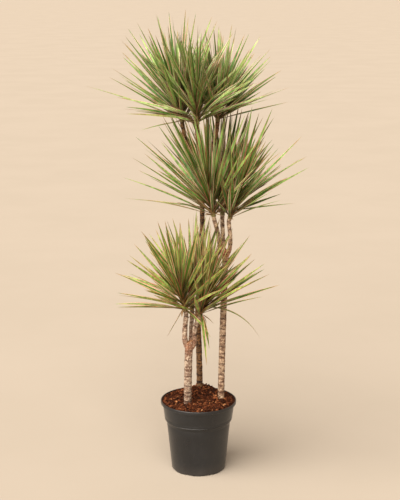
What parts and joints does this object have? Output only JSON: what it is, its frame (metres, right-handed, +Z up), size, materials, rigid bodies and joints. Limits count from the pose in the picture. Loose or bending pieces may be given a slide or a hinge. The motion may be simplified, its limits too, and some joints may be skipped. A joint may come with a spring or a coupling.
{
  "type": "potted dracaena marginata",
  "caption": "Indoor dracaena tree in a round nursery pot: bare canes of different heights stand in bark soil and carry leafy heads of long narrow leaves.",
  "frame": {"origin": "centre of the pot's foot, on the surface that the pot stands on", "axes": "+Z up along the pot's axis, +X to the right and -Y towards the viewer in the front view"},
  "size_m": [0.6863, 0.5781, 1.4449],
  "materials": {
    "pot": "dark grey moulded plastic, satin, with faint moulding lines",
    "soil": "coarse reddish-brown bark and peat",
    "bark_pale": "pale grey-white bark with dark leaf scars and peeling strips",
    "bark_beige": "beige-grey bark ringed by brown leaf scars",
    "bark_dark": "dark brown bark with blackish leaf scars",
    "leaf_low": "yellow-green leaf with an orange-red edge, slightly glossy",
    "leaf_mid": "mid-green leaf with pale bands and a thin red edge, slightly glossy",
    "leaf_top": "grey-green leaf with pale bands and a thin pink-red edge, slightly glossy"
  },
  "bodies": {
    "root": {"pot": "pot", "soil": "soil", "cane_short": "bark_pale", "cane_medium": "bark_beige", "cane_tall": "bark_dark", "leaves_low_left": "leaf_low", "leaves_low_right": "leaf_low", "leaves_low_back": "leaf_low", "leaves_mid_left": "leaf_mid", "leaves_mid_right": "leaf_mid", "leaves_mid_back": "leaf_mid", "leaves_top_left": "leaf_top", "leaves_top_right": "leaf_top", "leaves_top_front": "leaf_top"}
  },
  "joints": []
}
